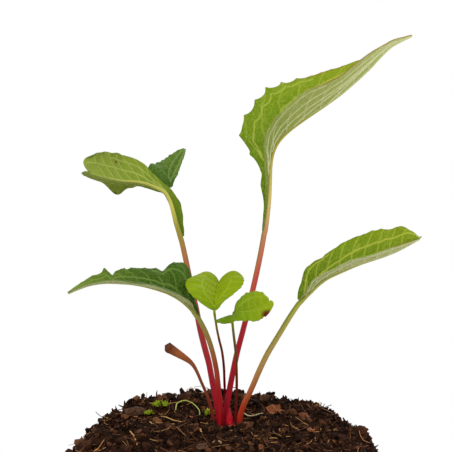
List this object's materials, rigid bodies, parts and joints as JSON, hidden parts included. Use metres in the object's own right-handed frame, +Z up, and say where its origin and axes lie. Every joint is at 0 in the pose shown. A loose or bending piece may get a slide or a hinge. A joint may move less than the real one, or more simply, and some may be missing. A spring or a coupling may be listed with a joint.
{
  "type": "potted coneflower",
  "caption": "Young coneflower plant with broad stalked leaves rising from a soil mound in a tapered clay pot, free-standing on its flat base.",
  "frame": {"origin": "centre of the pot's flat base", "axes": "+Z up along the pot's axis; -Y is the side that the leaves are shown from; the tall leaf leans to +X"},
  "size_m": [0.1866, 0.179, 0.3672],
  "materials": {
    "terracotta": "matte",
    "soil": "matte",
    "root": "matte",
    "stalk_red": "satin",
    "leaf_green": "satin",
    "leaf_dark": "satin",
    "leaf_young": "satin",
    "bud_red": "satin",
    "withered": "matte",
    "bark": "matte",
    "litter": "matte",
    "straw": "matte",
    "moss": "matte",
    "sprout": "satin"
  },
  "bodies": {
    "root": {"pot": "terracotta", "soil": "soil", "root_crown": "root", "tall_leaf_stem": "stalk_red", "tall_leaf_blade": "leaf_green", "right_leaf_stem": "stalk_red", "right_leaf_blade": "leaf_green", "left_leaf_stem": "stalk_red", "left_leaf_blade": "leaf_dark", "back_leaf_stem": "stalk_red", "back_leaf_blade": "leaf_green", "back_leaf_side_blade": "leaf_dark", "heart_leaf_stem": "stalk_red", "heart_leaf_blade": "leaf_young", "small_leaf_stem": "stalk_red", "small_leaf_blade": "leaf_young", "withered_stem": "withered", "bud_sheath": "bud_red", "straw_left": "straw", "straw_far_left": "straw", "straw_short": "straw", "straw_centre": "straw", "straw_front": "straw", "straw_right": "straw", "pale_rootlet": "sprout", "bark_fibre": "litter", "twig": "bark", "bark_chunk": "bark", "round_clod": "bark", "right_clod": "soil", "wood_chip": "straw", "moss_tuft": "moss", "moss_sprig": "moss", "moss_strip": "moss", "litter_chip": "litter", "litter_chip_small": "litter", "bark_chip_upright": "bark", "bark_chip_right": "litter", "bark_chip_back": "bark", "weed_sprout": "sprout"}
  },
  "joints": []
}
